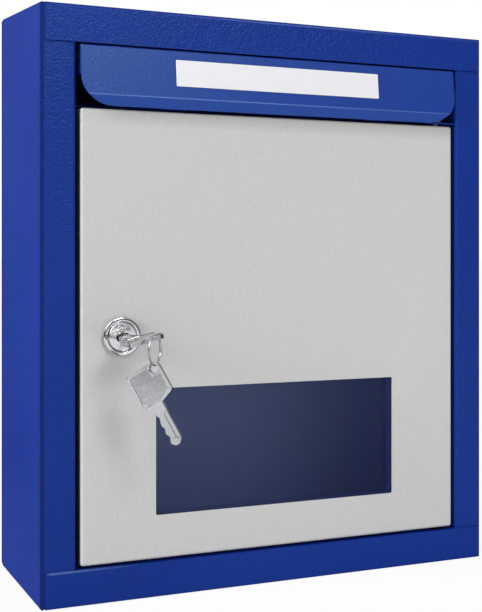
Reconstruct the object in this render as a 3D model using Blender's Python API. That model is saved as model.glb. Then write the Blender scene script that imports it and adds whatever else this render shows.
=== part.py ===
# Sheet-steel suggestion box with a letter flap, a windowed door and a cam lock.
# Metres. X runs to the right, Y to the back and Z up.
# The origin is the middle of the underside.

import math

import bmesh
import bpy
from mathutils import Matrix, Vector

# Cabinet
cabinet_width = 0.256
cabinet_depth = 0.094
front_height = 0.297
roof_rise = 0.008
sheet = 0.0008
fold_radius = 0.0016
seat_gap = 0.0003
side_band = 0.0173
top_band = 0.0185
bottom_band = 0.0178
rear_flange = 0.012
floor_lip = 0.0105
back_corner_radius = 0.0015

# Hanging holes in the back
hanger_spread = 0.160
hanger_below_top = 0.061
lower_hole_height = 0.118
screw_hole_radius = 0.0026
screw_head_radius = 0.0050
hanger_drop = 0.009
hole_round_share = 0.99

# Door
door_gap = 0.0022
door_bottom_gap = 0.0014
letter_zone_height = 0.0322
door_depth = 0.009
door_set_back = 0.001
door_swing_inset = 0.0082
door_swing_depth = 0.005
door_pin_radius = 0.0020
pin_clearance = 0.0001
rivet_clearance = 0.00015
pin_head_radius = 0.0038
pin_head_height = 0.0012
pin_reach = 0.005
pivot_washer_radius = 0.0042
pivot_washer_thickness = 0.0008

# Window
window_width = 0.1382
window_low = 0.0414
window_high = 0.1057
window_corner = 0.0008
pane_lap = 0.0050
pane_thickness = 0.0020
pane_corner = 0.0030
clip_width = 0.012
clip_foot = 0.0065
clip_tongue = 0.0045
clip_fold_radius = 0.0011
clip_spread = 0.090

# Sill rail and door stops
rail_gap = 0.0012
rail_set_back = 0.0095
rail_depth = 0.0074
rail_skirt = 0.0120
rail_lap = 0.0006
pivot_tab_set_back = 0.0016
pivot_tab_half = 0.0083
flap_stop_spread = 0.118
flap_stop_width = 0.014
stop_width = 0.014
stop_reach = 0.0085
stop_foot = 0.0100
stop_above_foot = 0.0428
stop_below_top = 0.0413

# Letter flap
flap_gap = 0.0008
flap_side_gap = 0.0021
flap_lean = 0.0025
flap_height = 0.0301
flap_lip_height = 0.0054
lip_return = 0.0023
flap_corner_width = 0.0170
flap_corner_height = 0.0140
flap_fold_radius = 0.0011
flap_top_return = 0.0075
flap_swing_depth = 0.005
flap_swing_drop = 0.0060
ear_depth = 0.0100
ear_height = 0.0147
ear_inset = 0.0001
ear_corner_radius = 0.003
flap_pin_radius = 0.0015
flap_pin_head_radius = 0.0025
flap_pin_head = 0.0009
spacer_radius = 0.0026

# Title label on the flap
label_width = 0.118
label_height = 0.0136
label_thickness = 0.0003
label_glue_gap = 0.0001
label_below_top = 0.0118
label_corner = 0.0004

# Cam lock
lock_inset = 0.0208
lock_z = 0.1326
bezel_radius = 0.0099
bezel_height = 0.0026
bezel_round = 0.0009
barrel_radius = 0.0079
barrel_length = 0.0225
plug_radius = 0.0056
plug_face_radius = 0.0073
plug_face_gap = 0.0002
plug_face_depth = 0.0019
plug_chamfer = 0.0004
plug_dish_radius = 0.0026
plug_dish_depth = 0.0006
nut_across_flats = 0.020
nut_thickness = 0.0040
lock_washer_radius = 0.0105
lock_washer_thickness = 0.0008
tail_side = 0.0070
cam_thickness = 0.0016
cam_length = 0.0350
cam_width = 0.0130
cam_round_share = 0.98
cam_screw_radius = 0.0019
cam_screw_head_radius = 0.0036
cam_screw_head_height = 0.0020
cam_screw_length = 0.0030
cam_washer_radius = 0.0052
cam_washer_thickness = 0.0008
latch_gap = 0.0004

# Keys
key_length = 0.0396
blade_length = 0.0170
blade_width = 0.0058
blade_thickness = 0.0017
blade_tip = 0.0018
bitting_shares = (0.28, 0.55, 0.865)
bitting_depth_shares = (0.16, 0.11, 0.14)
bitting_slope_share = 1.6
bitting_run = 0.0011
blade_groove_width = 0.0011
blade_groove_depth = 0.0004
blade_groove_offset = 0.0010
groove_round_share = 0.49
neck_step = 0.00015
neck_rise = 0.0040
blade_root = 0.0012
bow_width = 0.0186
bow_offset = 0.0014
bow_thickness = 0.0020
shoulder_rise = 0.0027
long_shoulder_rise = 0.0048
long_shoulder_inset = 0.0007
shoulder_ease = 0.0028
bow_corner = 0.0016
bow_rim = 0.0016
bow_panel_depth = 0.0003
eye_radius = 0.0024
eye_rim = 0.0008
keyway_clearance = 0.0003
keyway_tilt = math.radians(15.0)
key_inserted = 0.0045

# Key ring
ring_radius = 0.0073
ring_seat = 0.00375
ring_wire_radius = 0.00055
ring_turn = math.radians(41.0)
ring_gap = 0.00055
spare_gap = 0.0002

# Counts
fold_steps = 4
corner_steps = 6
pin_steps = 24
lock_steps = 48
ring_steps = 44
wire_steps = 8
nut_flats = 6
overrun = 0.002
full_turn = 2.0 * math.pi
flat_turn = math.radians(1.0)
smooth_turn = math.radians(40.0)
wire_smooth_turn = math.radians(60.0)
merge_distance = 1e-7

# Places that follow from the sizes
half_width = cabinet_width / 2.0
front_y = -cabinet_depth / 2.0
back_y = cabinet_depth / 2.0
rear_flange_y = back_y - sheet - seat_gap
side_face_y = front_y + sheet + seat_gap
wall_inside = half_width - sheet - seat_gap
band_half = half_width - fold_radius - seat_gap
opening_half = half_width - side_band
door_half = opening_half - door_gap
door_low = bottom_band + door_bottom_gap
door_top = front_height - top_band - letter_zone_height
door_y = front_y + door_set_back
door_back_y = door_y + sheet
door_axis_x = door_half - door_swing_inset
door_axis_y = door_y + door_swing_depth
rail_low = door_top + rail_gap
rail_front = front_y + rail_set_back
rail_half = opening_half - seat_gap
flap_top = front_height - top_band - flap_gap
flap_low = flap_top - flap_height
flap_crease_z = flap_low + flap_lip_height
ear_low = flap_top - ear_height
label_middle_z = flap_top - label_below_top
hanger_z = front_height - hanger_below_top
stop_low_z = door_low + stop_above_foot
stop_high_z = door_top - stop_below_top
lock_x = lock_inset - door_half
flap_half = opening_half - flap_side_gap
flap_axis_y = front_y + flap_swing_depth
flap_axis_z = front_height - top_band - flap_swing_drop
bezel_top = seat_gap + bezel_height
plug_floor = bezel_top - plug_face_depth
plug_back = -barrel_length - seat_gap
cam_front = plug_back - seat_gap
cam_back = cam_front - cam_thickness
return_end_y = door_y - cam_front - latch_gap
neck_half = blade_width / 2.0 + neck_step
bow_left = bow_offset - bow_width / 2.0
bow_right = bow_offset + bow_width / 2.0
ear_outer = flap_half - ear_inset
eye_x = bow_right - eye_radius - eye_rim
eye_y = key_length - eye_radius - eye_rim


def roof_height(y):
    """Height of the roof's outer face at depth y."""
    return front_height + roof_rise * (y - front_y) / cabinet_depth


# Finishes

def finish(name, colour, roughness, metallic=0.0, alpha=1.0):
    """A surface with its colour, gloss and clearness."""
    material = bpy.data.materials.new(name)
    material.use_nodes = True
    shader = material.node_tree.nodes["Principled BSDF"]
    shader.inputs["Base Color"].default_value = (*colour, 1.0)
    shader.inputs["Roughness"].default_value = roughness
    shader.inputs["Metallic"].default_value = metallic
    shader.inputs["Alpha"].default_value = alpha
    return material


def make_finishes():
    """One finish for each kind of surface."""
    return {
        "blue_paint": finish("blue_powder_coat", (0.024, 0.063, 0.31), 0.45),
        "grey_paint": finish("grey_powder_coat", (0.60, 0.60, 0.59), 0.5),
        "chrome": finish("bright_chrome", (0.82, 0.82, 0.83), 0.12, 1.0),
        "zinc": finish("zinc_plate", (0.60, 0.61, 0.63), 0.35, 1.0),
        "acrylic": finish("clear_acrylic", (0.90, 0.93, 0.96), 0.05, 0.0, 0.2),
        "nylon": finish("black_nylon", (0.03, 0.03, 0.032), 0.5),
        "paper": finish("label_paper", (0.82, 0.82, 0.86), 0.4),
    }


# Mesh helpers

def make_object(name, bm, material, smooth_angle=None):
    """Make a named piece with one finish."""
    bmesh.ops.recalc_face_normals(bm, faces=bm.faces)
    mesh = bpy.data.meshes.new(name)
    bm.to_mesh(mesh)
    bm.free()
    if smooth_angle is not None:
        mesh.shade_smooth()
        mesh.set_sharp_from_angle(angle=smooth_angle)
    obj = bpy.data.objects.new(name, mesh)
    obj.data.materials.append(material)
    bpy.context.scene.collection.objects.link(obj)
    return obj


def make_tool(name, bm, material):
    """An object that only cuts or completes another one."""
    obj = make_object(name, bm, material)
    obj.hide_render = True
    obj.display_type = "WIRE"
    return obj


def use_tool(obj, tool, operation):
    """Cut a tool from an object or unite it with the object."""
    modifier = obj.modifiers.new(tool.name, "BOOLEAN")
    modifier.operation = operation
    modifier.solver = "EXACT"
    modifier.object = tool


def add_box(bm, low, high):
    """Add a box between two corners."""
    size = Vector(high) - Vector(low)
    middle = (Vector(high) + Vector(low)) / 2.0
    matrix = Matrix.Translation(middle) @ Matrix.Diagonal((*size, 1.0))
    bmesh.ops.create_cube(bm, size=1.0, matrix=matrix)


def add_rod(bm, start, end, radius, steps):
    """Add a round rod between two points."""
    along = Vector(end) - Vector(start)
    turn = along.to_track_quat("Z", "Y").to_matrix().to_4x4()
    matrix = Matrix.Translation((Vector(start) + Vector(end)) / 2.0) @ turn
    bmesh.ops.create_cone(bm, cap_ends=True, segments=steps, radius1=radius, radius2=radius,
                          depth=along.length, matrix=matrix)


def add_prism(bm, outline, place, low, high):
    """Extrude a closed outline from low to high, each point placed by a function."""
    bottom = [bm.verts.new(place(u, v, low)) for u, v in outline]
    face = bm.faces.new(bottom)
    lift = Vector(place(0.0, 0.0, high)) - Vector(place(0.0, 0.0, low))
    grown = bmesh.ops.extrude_face_region(bm, geom=[face])
    moved = [item for item in grown["geom"] if isinstance(item, bmesh.types.BMVert)]
    bmesh.ops.translate(bm, verts=moved, vec=lift)


def turned(profile, steps, closed):
    """Spin a profile of (radius, height) points about local Z."""
    bm = bmesh.new()
    points = [bm.verts.new((radius, 0.0, height)) for radius, height in profile]
    edges = [bm.edges.new(pair) for pair in zip(points, points[1:])]
    if closed:
        edges.append(bm.edges.new((points[-1], points[0])))
    bmesh.ops.spin(bm, geom=points + edges, cent=(0.0, 0.0, 0.0), axis=(0.0, 0.0, 1.0),
                   angle=full_turn, steps=steps, use_merge=True)
    bmesh.ops.remove_doubles(bm, verts=bm.verts, dist=merge_distance)
    return bm


def rounded_corners(corners, radii, steps=corner_steps):
    """Round each corner of a closed outline with its own radius."""
    outline = []
    count = len(corners)
    for index, corner in enumerate(corners):
        here = Vector(corner)
        before = (Vector(corners[index - 1]) - here).normalized()
        after = (Vector(corners[(index + 1) % count]) - here).normalized()
        radius = radii[index]
        if radius == 0.0:
            outline.append(here)
            continue
        half_angle = before.angle(after) / 2.0
        middle = here + (before + after).normalized() * radius / math.sin(half_angle)
        first = here + before * radius / math.tan(half_angle) - middle
        sweep = math.pi - 2.0 * half_angle
        if before.x * after.y - before.y * after.x > 0.0:
            sweep = -sweep
        for step in range(steps + 1):
            turn = Matrix.Rotation(sweep * step / steps, 2)
            outline.append(middle + turn @ first)
    return outline


def rectangle(width, height, radius, middle=(0.0, 0.0)):
    """A rectangle with rounded corners."""
    x, y = middle
    corners = [(x - width / 2.0, y - height / 2.0), (x + width / 2.0, y - height / 2.0),
               (x + width / 2.0, y + height / 2.0), (x - width / 2.0, y + height / 2.0)]
    return rounded_corners(corners, [radius] * len(corners))


def centroid(outline):
    """Area and middle of a closed outline."""
    area = 0.0
    middle = Vector((0.0, 0.0))
    for index, point in enumerate(outline):
        before = outline[index - 1]
        cross = before[0] * point[1] - before[1] * point[0]
        area += cross / 2.0
        middle += (Vector(before) + Vector(point)) * cross / 6.0
    return abs(area), middle / area


# Folded sheet

def fold_stations(corners, side, radius):
    """Points and normals along one face of a folded sheet.

    side is 1 where the sheet's thickness lies to the left of the path and -1 to the right.
    """
    points = [Vector(corner) for corner in corners]
    stations = []
    last = len(points) - 1
    for index, here in enumerate(points):
        into = (here - points[index - 1]).normalized() if index else None
        out = (points[index + 1] - here).normalized() if index < last else None
        into = into or out
        out = out or into
        turn = math.atan2(into.x * out.y - into.y * out.x, into.dot(out))
        across = Vector((-into.y, into.x)) * side
        if abs(turn) < flat_turn:
            stations.append((here, across))
            continue
        inward = turn * side > 0.0
        path_radius = radius if inward else radius - sheet
        start = here - into * path_radius * math.tan(abs(turn) / 2.0)
        toward = Vector((-into.y, into.x)) * math.copysign(path_radius, turn)
        for step in range(fold_steps + 1):
            spun = Matrix.Rotation(turn * step / fold_steps, 2)
            stations.append((start + toward - spun @ toward, spun @ across))
    return stations


def add_folded_sheet(bm, corners, side, span, place, radius=fold_radius):
    """Fold a sheet along corners and give it the width that span names at each point."""
    rows = []
    for point, across in fold_stations(corners, side, radius):
        low, high = span(point)
        back = point + across * sheet
        rows.append([bm.verts.new(place(*point, low)), bm.verts.new(place(*point, high)),
                     bm.verts.new(place(*back, high)), bm.verts.new(place(*back, low))])
    for row, following in zip(rows, rows[1:]):
        for index in range(len(row)):
            before = index - 1
            bm.faces.new((row[before], row[index], following[index], following[before]))
    bm.faces.new(rows[0])
    bm.faces.new(reversed(rows[-1]))


def across_x(y, z, x):
    """Profile drawn in Y and Z, drawn out along X."""
    return (x, y, z)


# Cabinet pieces

def side_panel(name, direction, paint):
    """Side wall with its front band, return lip and rear flange."""
    corners = [(-opening_half, return_end_y), (-opening_half, side_face_y),
               (-half_width, side_face_y), (-half_width, rear_flange_y),
               (-half_width + rear_flange, rear_flange_y)]
    flange_limit = half_width - fold_radius + merge_distance
    front_low = sheet + seat_gap
    front_high = roof_height(side_face_y) - front_low
    rear_low = rear_flange + seat_gap
    rear_high = roof_height(rear_flange_y) - rear_low

    def span(point):
        if abs(point.x) > flange_limit:
            return 0.0, roof_height(point.y)
        if point.y < 0.0:
            return front_low, front_high
        return rear_low, rear_high

    bm = bmesh.new()
    add_folded_sheet(bm, corners, -1, span, lambda x, y, z: (x * -direction, y, z))
    obj = make_object(name, bm, paint)
    cutter = bmesh.new()
    inner = opening_half - overrun
    outer = opening_half + sheet + overrun
    add_rod(cutter, (inner * direction, flap_axis_y, flap_axis_z),
            (outer * direction, flap_axis_y, flap_axis_z), flap_pin_radius + rivet_clearance, pin_steps)
    use_tool(obj, make_tool(name + "_pin_hole", cutter, paint), "DIFFERENCE")
    return obj


def cut_notches(obj, low, high, paint):
    """Narrow a cap sheet beside the front and rear folds of the walls."""
    reach = wall_inside + overrun
    front_clear = side_face_y + fold_radius + seat_gap
    rear_clear = rear_flange_y - fold_radius - seat_gap
    foot = low - overrun
    head = high + overrun
    notches = bmesh.new()
    for inner, outer in ((band_half, reach), (-reach, -band_half)):
        add_box(notches, (inner, front_y - overrun, foot), (outer, front_clear, head))
        add_box(notches, (inner, rear_clear, foot), (outer, back_y + overrun, head))
    use_tool(obj, make_tool(obj.name + "_notches", notches, paint), "DIFFERENCE")


def roof_panel(paint):
    """Sloping roof with the top band in front and a flange behind."""
    back_top = roof_height(rear_flange_y)
    corners = [(front_y, front_height - top_band), (front_y, front_height),
               (rear_flange_y, back_top), (rear_flange_y, back_top - rear_flange)]
    bm = bmesh.new()
    add_folded_sheet(bm, corners, -1, lambda point: (-wall_inside, wall_inside), across_x)
    obj = make_object("roof_panel", bm, paint)
    cut_notches(obj, front_height - top_band, back_top, paint)
    return obj


def floor_panel(paint):
    """Floor with the bottom band, a lip that carries the door's pin, and a rear flange."""
    corners = [(front_y, bottom_band), (front_y, 0.0), (rear_flange_y, 0.0), (rear_flange_y, rear_flange)]
    bm = bmesh.new()
    add_folded_sheet(bm, corners, 1, lambda point: (-wall_inside, wall_inside), across_x)
    obj = make_object("floor_panel", bm, paint)
    cut_notches(obj, 0.0, bottom_band, paint)
    lip = bmesh.new()
    add_box(lip, (-rail_half, front_y + sheet / 2.0, bottom_band - sheet),
            (rail_half, front_y + floor_lip, bottom_band))
    use_tool(obj, make_tool("floor_lip", lip, paint), "UNION")
    hole = bmesh.new()
    add_rod(hole, (door_axis_x, door_axis_y, bottom_band - sheet - overrun),
            (door_axis_x, door_axis_y, bottom_band + overrun), door_pin_radius + rivet_clearance, pin_steps)
    use_tool(obj, make_tool("floor_pin_hole", hole, paint), "DIFFERENCE")
    return obj


def back_panel(paint):
    """Flat back with two keyholes above and two round holes below."""
    back_height = front_height + roof_rise
    outline = rectangle(cabinet_width, back_height, back_corner_radius, (0.0, back_height / 2.0))
    bm = bmesh.new()
    add_prism(bm, outline, lambda x, z, y: (x, y, z), back_y - sheet, back_y)
    obj = make_object("back_panel", bm, paint)
    cutter = bmesh.new()
    front = back_y - sheet - overrun
    behind = back_y + overrun
    for direction in (-1.0, 1.0):
        x = direction * hanger_spread / 2.0
        slot = rounded_corners(
            [(x - screw_hole_radius, hanger_z - hanger_drop),
             (x + screw_hole_radius, hanger_z - hanger_drop),
             (x + screw_hole_radius, hanger_z + screw_hole_radius),
             (x - screw_hole_radius, hanger_z + screw_hole_radius)],
            [0.0, 0.0, screw_hole_radius * hole_round_share, screw_hole_radius * hole_round_share])
        add_prism(cutter, slot, lambda u, v, y: (u, y, v), front, behind)
        add_rod(cutter, (x, front, lower_hole_height), (x, behind, lower_hole_height),
                screw_hole_radius, lock_steps)
    use_tool(obj, make_tool("back_slots", cutter, paint), "DIFFERENCE")
    heads = bmesh.new()
    for direction in (-1.0, 1.0):
        x = direction * hanger_spread / 2.0
        add_rod(heads, (x, front, hanger_z - hanger_drop), (x, behind, hanger_z - hanger_drop),
                screw_head_radius, pin_steps)
    use_tool(obj, make_tool("back_head_holes", heads, paint), "DIFFERENCE")
    return obj


def sill_rail(paint):
    """Rail under the letter slot, with a tab for the door's upper pin and two stops for the flap."""
    rail_rear = rail_front + rail_depth
    rail_high = rail_low + sheet
    corners = [(rail_front, rail_low), (rail_rear, rail_low), (rail_rear, rail_low - rail_skirt)]
    bm = bmesh.new()
    add_folded_sheet(bm, corners, 1, lambda point: (-rail_half, rail_half), across_x)
    obj = make_object("sill_rail", bm, paint)
    tabs = bmesh.new()
    add_box(tabs, (door_axis_x - pivot_tab_half, front_y + pivot_tab_set_back, rail_low),
            (rail_half, rail_front + rail_lap, rail_high))
    stop_front = front_y - flap_lean + lip_return + sheet + seat_gap
    for direction in (-1.0, 1.0):
        x = direction * flap_stop_spread / 2.0
        add_box(tabs, (x - flap_stop_width / 2.0, stop_front, rail_low),
                (x + flap_stop_width / 2.0, rail_front + rail_lap, rail_high))
    use_tool(obj, make_tool("rail_tabs", tabs, paint), "UNION")
    hole = bmesh.new()
    add_rod(hole, (door_axis_x, door_axis_y, rail_low - overrun),
            (door_axis_x, door_axis_y, rail_high + overrun), door_pin_radius + rivet_clearance, pin_steps)
    use_tool(obj, make_tool("rail_pin_hole", hole, paint), "DIFFERENCE")
    return obj


def door_stop(name, height, paint):
    """Angle bracket inside the left return, behind the door's edge."""
    x = -opening_half + seat_gap
    stop_y = door_y + door_depth + seat_gap
    corners = [(x, stop_y + stop_foot), (x, stop_y), (x + stop_reach, stop_y)]
    low = height - stop_width / 2.0
    high = height + stop_width / 2.0
    bm = bmesh.new()
    add_folded_sheet(bm, corners, 1, lambda point: (low, high), lambda x, y, z: (x, y, z))
    return make_object(name, bm, paint)


# Door pieces

def door_panel(paint):
    """Door tray with a window, a lock hole and two pin holes."""
    bm = bmesh.new()
    add_box(bm, (-door_half, door_y, door_low), (door_half, door_y + door_depth, door_top))
    rear = [face for face in bm.faces if face.normal.y > 0.5]
    rim = {edge for face in rear for edge in face.edges}
    folds = [edge for edge in bm.edges if edge not in rim]
    bmesh.ops.bevel(bm, geom=folds, offset=fold_radius, offset_type="OFFSET", segments=fold_steps,
                    profile=0.5, affect="EDGES", clamp_overlap=True)
    rear = [face for face in bm.faces if face.normal.y > 0.999]
    bmesh.ops.delete(bm, geom=rear, context="FACES_ONLY")
    obj = make_object("door_panel", bm, paint)
    skin = obj.modifiers.new("skin", "SOLIDIFY")
    skin.thickness = sheet
    skin.offset = -1.0
    skin.use_even_offset = True
    cutter = bmesh.new()
    window_height = window_high - window_low
    outline = rectangle(window_width, window_height, window_corner, (0.0, (window_high + window_low) / 2.0))
    add_prism(cutter, outline, lambda x, z, y: (x, y, z), door_y - overrun, door_back_y + overrun)
    add_rod(cutter, (lock_x, door_y - overrun, lock_z), (lock_x, door_back_y + overrun, lock_z),
            barrel_radius + seat_gap, lock_steps)
    for low in (door_low - overrun, door_top - sheet - overrun):
        add_rod(cutter, (door_axis_x, door_axis_y, low),
                (door_axis_x, door_axis_y, low + sheet + 2.0 * overrun),
                door_pin_radius + pin_clearance, pin_steps)
    use_tool(obj, make_tool("door_cuts", cutter, paint), "DIFFERENCE")
    return obj


def window_pane(acrylic):
    """Clear pane behind the window."""
    bm = bmesh.new()
    pane_width = window_width + 2.0 * pane_lap
    pane_height = window_high - window_low + 2.0 * pane_lap
    outline = rectangle(pane_width, pane_height, pane_corner, (0.0, (window_high + window_low) / 2.0))
    front = door_back_y + seat_gap
    add_prism(bm, outline, lambda x, z, y: (x, y, z), front, front + pane_thickness)
    return make_object("window_pane", bm, acrylic)


def window_clip(name, direction, upward, zinc):
    """Stepped clip that holds the pane against the door."""
    foot_y = door_back_y + seat_gap
    tongue_y = foot_y + pane_thickness + seat_gap
    middle = (window_high + window_low) / 2.0
    edge = (window_high - window_low) / 2.0 + pane_lap + clip_fold_radius
    corners = [(edge + clip_foot, foot_y), (edge, foot_y), (edge, tongue_y), (edge - clip_tongue, tongue_y)]
    low = direction * clip_spread / 2.0 - clip_width / 2.0
    bm = bmesh.new()
    add_folded_sheet(bm, corners, -1, lambda point: (low, low + clip_width),
                     lambda z, y, x: (x, y, middle + z * upward), clip_fold_radius)
    return make_object(name, bm, zinc)


def door_pin(name, upward, base, zinc):
    """Headed rivet pin that the door turns on; its head lies on the far side of its carrier."""
    head_low = -sheet - seat_gap - pin_head_height
    profile = [(0.0, head_low), (pin_head_radius, head_low), (pin_head_radius, -sheet - seat_gap),
               (door_pin_radius, -sheet - seat_gap), (door_pin_radius, pin_reach), (0.0, pin_reach)]
    obj = make_object(name, turned(profile, pin_steps, False), zinc, smooth_turn)
    obj.location = (door_axis_x, door_axis_y, base)
    if not upward:
        obj.rotation_euler = (math.pi, 0.0, 0.0)
    return obj


def washer(name, inner, outer, low, high, steps, material):
    """Flat round washer about local Z."""
    profile = [(inner, low), (outer, low), (outer, high), (inner, high)]
    return make_object(name, turned(profile, steps, True), material, smooth_turn)


def pivot_washer(nylon):
    """Nylon washer under the door's lower corner."""
    low = bottom_band + (door_bottom_gap - pivot_washer_thickness) / 2.0
    obj = washer("pivot_washer", door_pin_radius + pin_clearance, pivot_washer_radius,
                 0.0, pivot_washer_thickness, pin_steps, nylon)
    obj.location = (door_axis_x, door_axis_y, low)
    return obj


# Flap pieces

def flap_face_y(z):
    """Depth of the flap's outer face at height z, above the crease."""
    return front_y - flap_lean * (flap_top - z) / (flap_top - flap_crease_z)


def flap_half_at(z):
    """Half width of the flap at height z, with its lower corners rounded."""
    below_share = min(1.0, max(0.0, flap_low + flap_corner_height - z) / flap_corner_height)
    return flap_half - flap_corner_width * (1.0 - math.sqrt(1.0 - below_share ** 2))


def flap(paint):
    """Letter flap with a top return, a lip along its foot and an ear at each end."""
    crease_y = flap_face_y(flap_crease_z)
    lip_height = flap_crease_z - flap_low
    corners = [(front_y + flap_top_return, flap_top), (front_y, flap_top)]
    steps = 2 * corner_steps
    heights = [flap_low + flap_corner_height * (1.0 - math.sin(math.pi / 2.0 * step / steps))
               for step in range(steps + 1)]
    corners += [(flap_face_y(z), z) for z in heights if z > flap_crease_z + flap_fold_radius]
    corners.append((crease_y, flap_crease_z))
    corners += [(crease_y + lip_return * (flap_crease_z - z) / lip_height, z)
                for z in heights if z < flap_crease_z - flap_fold_radius]
    bm = bmesh.new()
    add_folded_sheet(bm, corners, 1, lambda point: (-flap_half_at(point.y), flap_half_at(point.y)),
                     across_x, flap_fold_radius)
    obj = make_object("flap", bm, paint)
    ears = bmesh.new()
    cutter = bmesh.new()
    inset = sheet / 2.0
    rear = front_y + ear_depth
    outline = rounded_corners(
        [(flap_face_y(ear_low) + inset, ear_low), (rear, ear_low), (rear, flap_top - inset),
         (front_y + flap_fold_radius, flap_top - inset), (front_y + inset, flap_top - flap_fold_radius)],
        [0.0, ear_corner_radius, ear_corner_radius, 0.0, 0.0])
    for direction in (-1.0, 1.0):
        place = lambda y, z, x, direction=direction: (x * direction, y, z)
        add_prism(ears, outline, place, ear_outer - sheet, ear_outer)
        add_rod(cutter, ((ear_outer - sheet - overrun) * direction, flap_axis_y, flap_axis_z),
                ((ear_outer + overrun) * direction, flap_axis_y, flap_axis_z),
                flap_pin_radius + pin_clearance, pin_steps)
    use_tool(obj, make_tool("flap_ears", ears, paint), "UNION")
    use_tool(obj, make_tool("flap_pin_holes", cutter, paint), "DIFFERENCE")
    return obj


def flap_pin(name, direction, zinc):
    """Rivet through the flap's ear and the return of the side panel."""
    ear_inner = ear_outer - sheet
    return_outer = opening_half + sheet
    profile = [(0.0, ear_inner - seat_gap - flap_pin_head),
               (flap_pin_head_radius, ear_inner - seat_gap - flap_pin_head),
               (flap_pin_head_radius, ear_inner - seat_gap), (flap_pin_radius, ear_inner - seat_gap),
               (flap_pin_radius, return_outer + seat_gap), (flap_pin_head_radius, return_outer + seat_gap),
               (flap_pin_head_radius, return_outer + seat_gap + flap_pin_head),
               (0.0, return_outer + seat_gap + flap_pin_head)]
    obj = make_object(name, turned(profile, pin_steps, False), zinc, smooth_turn)
    obj.location = (0.0, flap_axis_y, flap_axis_z)
    obj.rotation_euler = (0.0, direction * math.pi / 2.0, 0.0)
    return obj


def flap_spacer(name, direction, nylon):
    """Nylon spacer on the flap's pin, between the ear and the return."""
    low = ear_outer + seat_gap
    high = opening_half - seat_gap
    obj = washer(name, flap_pin_radius + rivet_clearance, spacer_radius, low, high, pin_steps, nylon)
    obj.location = (0.0, flap_axis_y, flap_axis_z)
    obj.rotation_euler = (0.0, direction * math.pi / 2.0, 0.0)
    return obj


def title_label(paper):
    """Bare label on the flap's leaning face."""
    lean = math.atan2(flap_lean, flap_top - flap_crease_z)
    bm = bmesh.new()
    add_prism(bm, rectangle(label_width, label_height, label_corner), lambda x, z, y: (x, y, z),
              -label_glue_gap - label_thickness, -label_glue_gap)
    obj = make_object("title_label", bm, paper)
    obj.location = (0.0, flap_face_y(label_middle_z), label_middle_z)
    obj.rotation_euler = (-lean, 0.0, 0.0)
    return obj


# Cam lock, drawn about local Z, which points out of the door

def seat_in_door(obj):
    """Stand a lock piece on the lock's axis."""
    obj.location = (lock_x, door_y, lock_z)
    obj.rotation_euler = (math.pi / 2.0, 0.0, 0.0)
    return obj


def lock_barrel(chrome):
    """Bezel and threaded body in one turned piece."""
    bore = plug_radius + pin_clearance
    recess = plug_face_radius + plug_face_gap
    profile = [(bore, -barrel_length), (barrel_radius, -barrel_length), (barrel_radius, seat_gap),
               (bezel_radius, seat_gap)]
    for step in range(fold_steps + 1):
        angle = math.pi / 2.0 * step / fold_steps
        profile.append((bezel_radius - bezel_round + bezel_round * math.cos(angle),
                        bezel_top - bezel_round + bezel_round * math.sin(angle)))
    profile += [(recess + plug_chamfer, bezel_top), (recess, bezel_top - plug_chamfer),
                (recess, plug_floor), (bore, plug_floor)]
    return seat_in_door(make_object("lock_barrel", turned(profile, lock_steps, True), chrome,
                                    smooth_turn))


def lock_plug(chrome):
    """Turning plug with its face, keyway and square tail."""
    low_face = plug_floor + plug_face_gap
    tail_end = cam_back + seat_gap
    profile = [(0.0, plug_back), (plug_radius, plug_back), (plug_radius, low_face),
               (plug_face_radius, low_face), (plug_face_radius, bezel_top - plug_chamfer),
               (plug_face_radius - plug_chamfer, bezel_top),
               (plug_dish_radius + plug_dish_depth, bezel_top),
               (plug_dish_radius, bezel_top - plug_dish_depth), (0.0, bezel_top - plug_dish_depth)]
    obj = make_object("lock_plug", turned(profile, lock_steps, False), chrome, smooth_turn)
    tail = bmesh.new()
    add_box(tail, (-tail_side / 2.0, -tail_side / 2.0, tail_end),
            (tail_side / 2.0, tail_side / 2.0, plug_back + plug_chamfer))
    use_tool(obj, seat_in_door(make_tool("plug_tail", tail, chrome)), "UNION")
    cutter = bmesh.new()
    slot_width = blade_width + 2.0 * keyway_clearance
    slot_thickness = blade_thickness + 2.0 * keyway_clearance
    slot_floor = bezel_top - blade_length - keyway_clearance
    add_box(cutter, (-slot_width / 2.0, -slot_thickness / 2.0, slot_floor),
            (slot_width / 2.0, slot_thickness / 2.0, bezel_top + overrun))
    bmesh.ops.rotate(cutter, verts=cutter.verts, cent=(0.0, 0.0, 0.0),
                     matrix=Matrix.Rotation(keyway_tilt, 3, "Z"))
    add_rod(cutter, (0.0, 0.0, tail_end - overrun), (0.0, 0.0, tail_end + cam_screw_length),
            cam_screw_radius + rivet_clearance, pin_steps)
    use_tool(obj, seat_in_door(make_tool("plug_cuts", cutter, chrome)), "DIFFERENCE")
    return seat_in_door(obj)


def lock_nut(zinc):
    """Hexagon nut that clamps the barrel to the door."""
    high = -sheet - 2.0 * seat_gap - lock_washer_thickness
    low = high - nut_thickness
    corner_radius = nut_across_flats / 2.0 / math.cos(full_turn / 2.0 / nut_flats)
    outline = [(corner_radius * math.cos(full_turn * flat / nut_flats),
                corner_radius * math.sin(full_turn * flat / nut_flats)) for flat in range(nut_flats)]
    bm = bmesh.new()
    add_prism(bm, outline, lambda x, y, z: (x, y, z), low, high)
    obj = make_object("lock_nut", bm, zinc)
    cutter = bmesh.new()
    add_rod(cutter, (0.0, 0.0, low - overrun), (0.0, 0.0, high + overrun),
            barrel_radius + rivet_clearance, lock_steps)
    use_tool(obj, seat_in_door(make_tool("nut_bore", cutter, zinc)), "DIFFERENCE")
    return seat_in_door(obj)


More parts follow.
